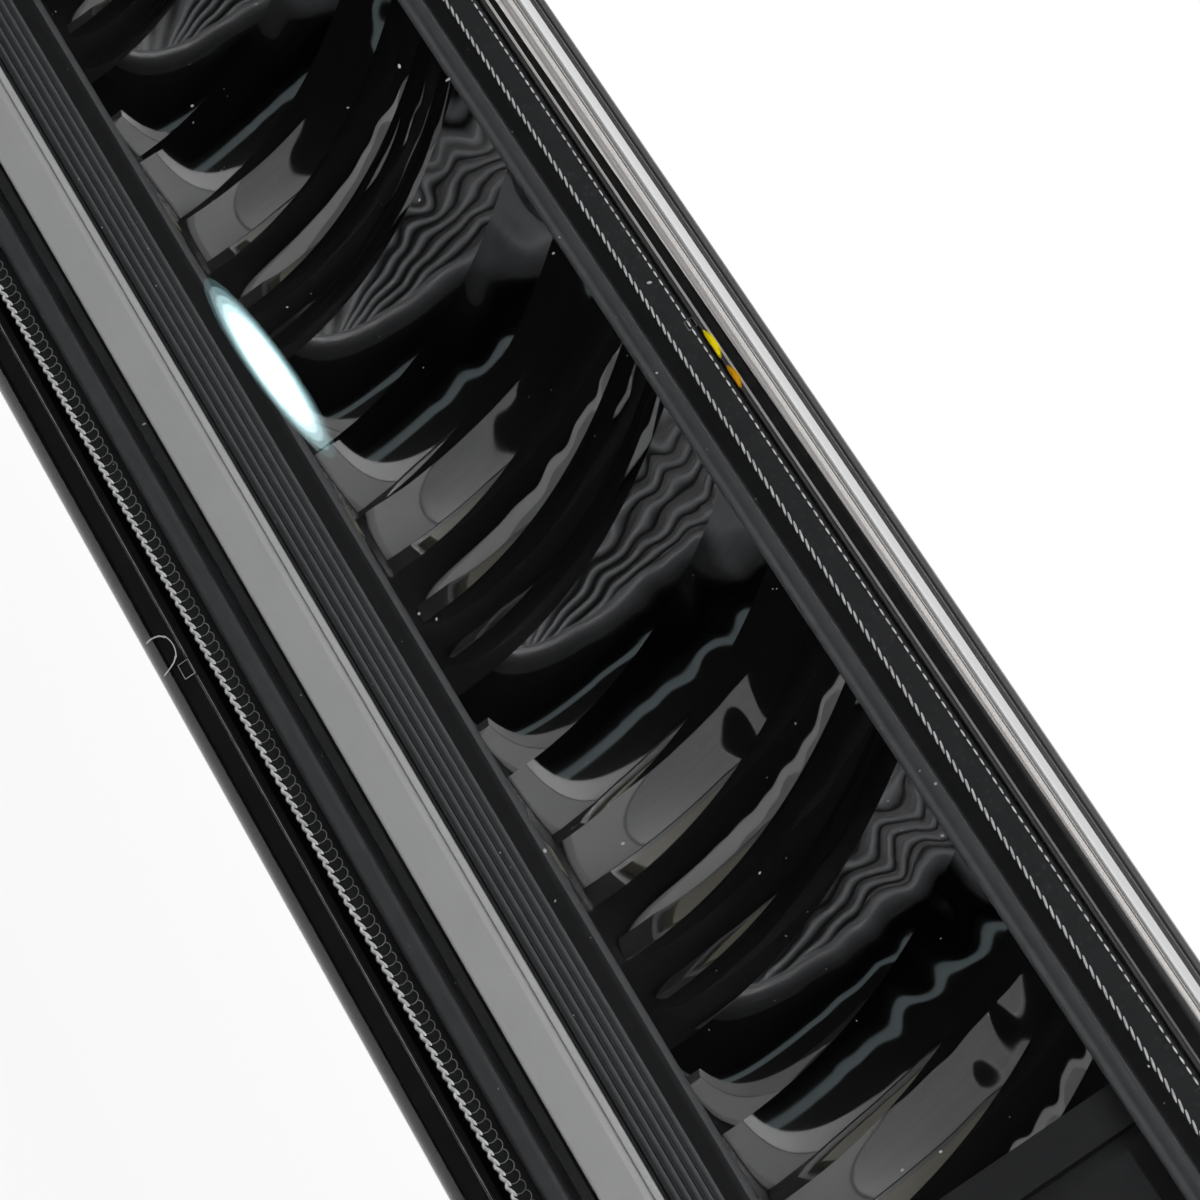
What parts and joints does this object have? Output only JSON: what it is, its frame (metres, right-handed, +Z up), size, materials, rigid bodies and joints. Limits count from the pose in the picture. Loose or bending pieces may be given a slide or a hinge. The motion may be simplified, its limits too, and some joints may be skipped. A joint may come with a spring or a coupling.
{
  "type": "led auxiliary light bar",
  "caption": "Slim single-row light bar with fluted black reflectors behind a clear lens, an opal position-light strip, a finned body and tilting foot brackets.",
  "frame": {"origin": "middle between the two foot slots, on the underside of the feet, below the tilt axis", "axes": "+X along the bar, -Y the way the light leaves, +Z up from the mounting surface"},
  "size_m": [0.4228, 0.0626, 0.0675],
  "materials": {
    "clear_lens": "clear moulded polycarbonate",
    "seal_rubber": "dark silicone rubber",
    "bezel_plastic": "dark satin plastic",
    "reflector_chrome": "black chrome, vacuum coated",
    "board_white": "white solder mask",
    "board_dark": "black solder mask with white fields behind the LEDs",
    "led_case": "white ceramic-like plastic",
    "led_phosphor": "pale yellow phosphor under clear silicone",
    "screw_steel": "stainless steel",
    "opal_plastic": "milky translucent acrylic, unlit",
    "body_coat": "fine black powder coat on aluminium",
    "black_plastic": "black polyamide",
    "board_green": "green solder mask",
    "chip_black": "moulded epoxy",
    "can_aluminium": "plain can",
    "bracket_coat": "black powder coat on steel"
  },
  "bodies": {
    "brackets": {"bracket_left": "bracket_coat", "bracket_right": "bracket_coat"},
    "lamp": {"front_lens": "clear_lens", "lens_seal": "seal_rubber", "bezel": "bezel_plastic", "reflector_left": "reflector_chrome", "reflector_right": "reflector_chrome", "led_board_left": "board_dark", "led_board_right": "board_dark", "led_packages": "led_case", "led_phosphors": "led_phosphor", "board_screws": "screw_steel", "position_diffuser": "opal_plastic", "strip_board": "board_white", "strip_leds": "led_case", "housing": "body_coat", "end_cap_left": "body_coat", "end_cap_right": "body_coat", "end_gasket_left": "seal_rubber", "end_gasket_right": "seal_rubber", "end_cap_screws": "screw_steel", "gland_body": "black_plastic", "gland_dome_nut": "black_plastic", "gland_lock_nut": "black_plastic", "gland_seal": "seal_rubber", "vent_plug": "black_plastic", "driver_board": "board_green", "driver_spacers": "black_plastic", "driver_screws": "screw_steel", "driver_inductors": "chip_black", "driver_capacitors": "can_aluminium", "driver_chips": "chip_black", "tilt_spacers": "black_plastic", "tilt_washers": "screw_steel", "tilt_bolts": "screw_steel"}
  },
  "joints": [
    {"name": "tilt", "type": "hinge", "parent": "brackets", "child": "lamp", "pos_m": [0, 0, 0.046], "axis": [1, 0, 0], "range_deg": [-90, 90]}
  ]
}
